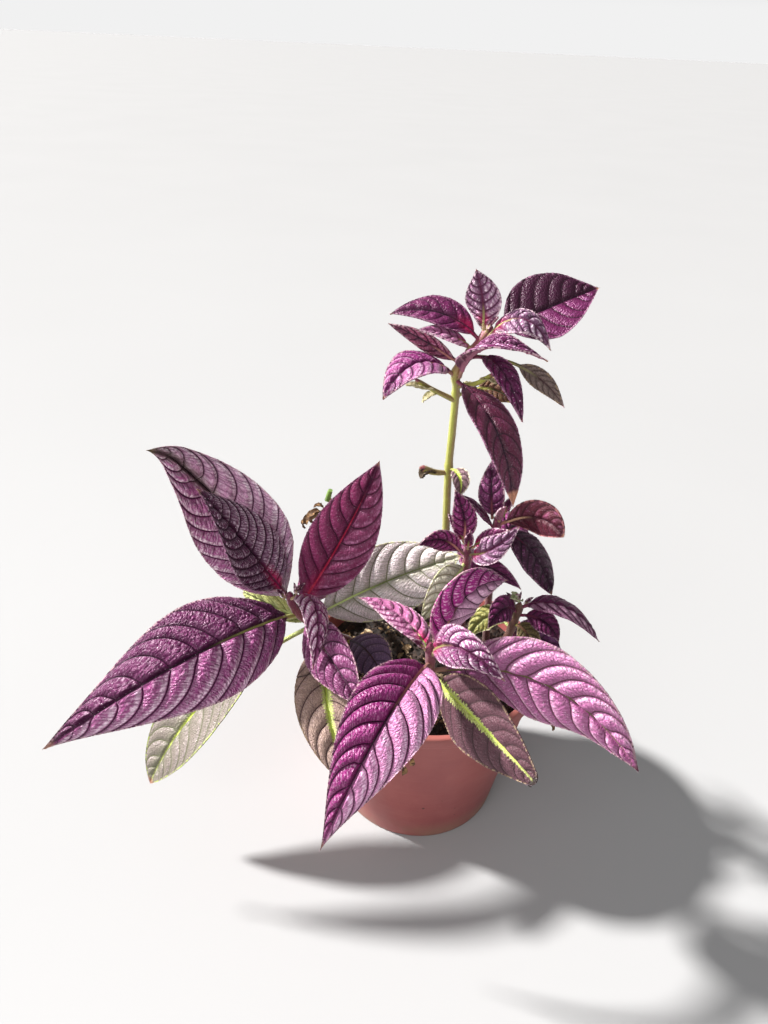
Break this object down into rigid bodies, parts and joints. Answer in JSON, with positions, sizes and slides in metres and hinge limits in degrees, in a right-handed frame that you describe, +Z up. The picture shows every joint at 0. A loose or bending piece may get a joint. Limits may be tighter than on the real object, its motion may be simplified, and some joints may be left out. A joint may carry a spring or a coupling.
{
  "type": "potted persian shield plant",
  "caption": "Bushy potted houseplant with long pointed purple leaves, quilted between dark veins, on upright stems in a round tapered pot.",
  "frame": {"origin": "middle of the pot's underside, on the face that the pot stands on", "axes": "+Z up; -Y towards the side that the picture shows, +X to that side's right"},
  "size_m": [0.2601, 0.1705, 0.2855],
  "materials": {
    "pot_plastic": "matte",
    "potting_soil": "matte",
    "green_stem": "satin",
    "purple_stem": "satin",
    "dry_stem": "matte",
    "violet_leaf": "satin",
    "plum_leaf": "satin",
    "young_leaf": "satin",
    "silver_leaf": "satin",
    "mauve_leaf": "satin",
    "red_leaf": "satin",
    "olive_leaf": "satin"
  },
  "bodies": {
    "root": {"pot": "pot_plastic", "soil": "potting_soil", "stem_tall": "green_stem", "stem_left": "purple_stem", "stem_front": "purple_stem", "stem_middle": "purple_stem", "stem_second": "purple_stem", "stem_right": "purple_stem", "stem_dried": "dry_stem", "left_leaf_raised": "violet_leaf", "left_leaf_inner": "plum_leaf", "left_leaf_upright": "plum_leaf", "left_leaf_long": "violet_leaf", "left_leaf_curled": "young_leaf", "left_leaf_forward": "violet_leaf", "left_leaf_behind": "silver_leaf", "left_leaf_old": "silver_leaf", "left_leaf_hanging": "mauve_leaf", "left_leaf_back": "violet_leaf", "left_leaf_shaded": "mauve_leaf", "back_leaf_silver": "silver_leaf", "back_leaf_left": "violet_leaf", "back_leaf_right": "violet_leaf", "front_leaf_long": "violet_leaf", "front_leaf_upper": "violet_leaf", "front_leaf_young": "young_leaf", "front_leaf_rear": "young_leaf", "front_leaf_right": "violet_leaf", "front_leaf_old": "mauve_leaf", "middle_leaf_top": "violet_leaf", "middle_leaf_left": "violet_leaf", "middle_leaf_young": "young_leaf", "middle_leaf_right": "plum_leaf", "middle_leaf_pale": "silver_leaf", "middle_leaf_rear": "plum_leaf", "middle_leaf_back": "violet_leaf", "tall_leaf_small": "olive_leaf", "second_leaf_top": "violet_leaf", "second_leaf_red": "red_leaf", "second_leaf_dark": "plum_leaf", "second_leaf_back": "violet_leaf", "right_leaf_rounded": "plum_leaf", "right_leaf_long": "plum_leaf", "right_leaf_spiky": "plum_leaf", "right_leaf_olive": "mauve_leaf", "right_leaf_low": "plum_leaf", "right_leaf_faded": "silver_leaf", "top_leaf_large": "plum_leaf", "top_leaf_upright": "young_leaf", "top_leaf_left": "plum_leaf", "top_leaf_pink": "young_leaf", "top_leaf_young": "young_leaf", "top_leaf_arched": "violet_leaf", "top_leaf_side": "violet_leaf", "top_leaf_narrow": "violet_leaf", "top_leaf_hanging": "plum_leaf", "top_leaf_shaded": "mauve_leaf", "top_leaf_olive": "olive_leaf", "top_leaf_drooping": "plum_leaf"}
  },
  "joints": []
}
